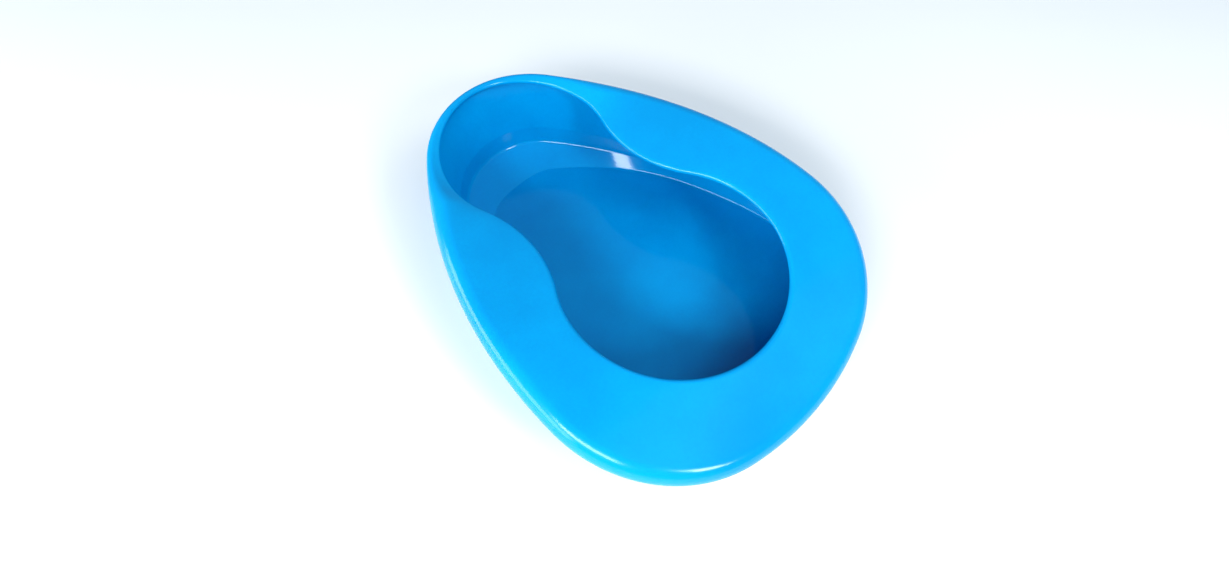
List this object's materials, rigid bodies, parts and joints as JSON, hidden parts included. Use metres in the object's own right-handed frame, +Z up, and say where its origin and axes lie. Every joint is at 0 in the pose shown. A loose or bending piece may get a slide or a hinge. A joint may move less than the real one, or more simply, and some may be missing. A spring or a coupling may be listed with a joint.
{
  "type": "bedpan",
  "caption": "Contoured plastic bedpan with a keyhole seat opening, a rounded rim, a flared bowl and a flat base.",
  "frame": {"origin": "centre of the pan's bounding box in plan, on the surface that the flat base stands on", "axes": "+Z up, +Y towards the narrow raised pouring end, +X to the right seen from the wide end; the YZ plane is the plane of symmetry"},
  "size_m": [0.2964, 0.3799, 0.0836],
  "materials": {
    "seat_plastic": "glossy moulded polypropylene, bright blue",
    "basin_plastic": "glossy moulded polypropylene, bright blue",
    "weld_plastic": "remelted polypropylene, slightly darker blue"
  },
  "bodies": {
    "root": {"seat_shell": "seat_plastic", "basin_shell": "basin_plastic", "rim_weld": "weld_plastic"}
  },
  "joints": []
}
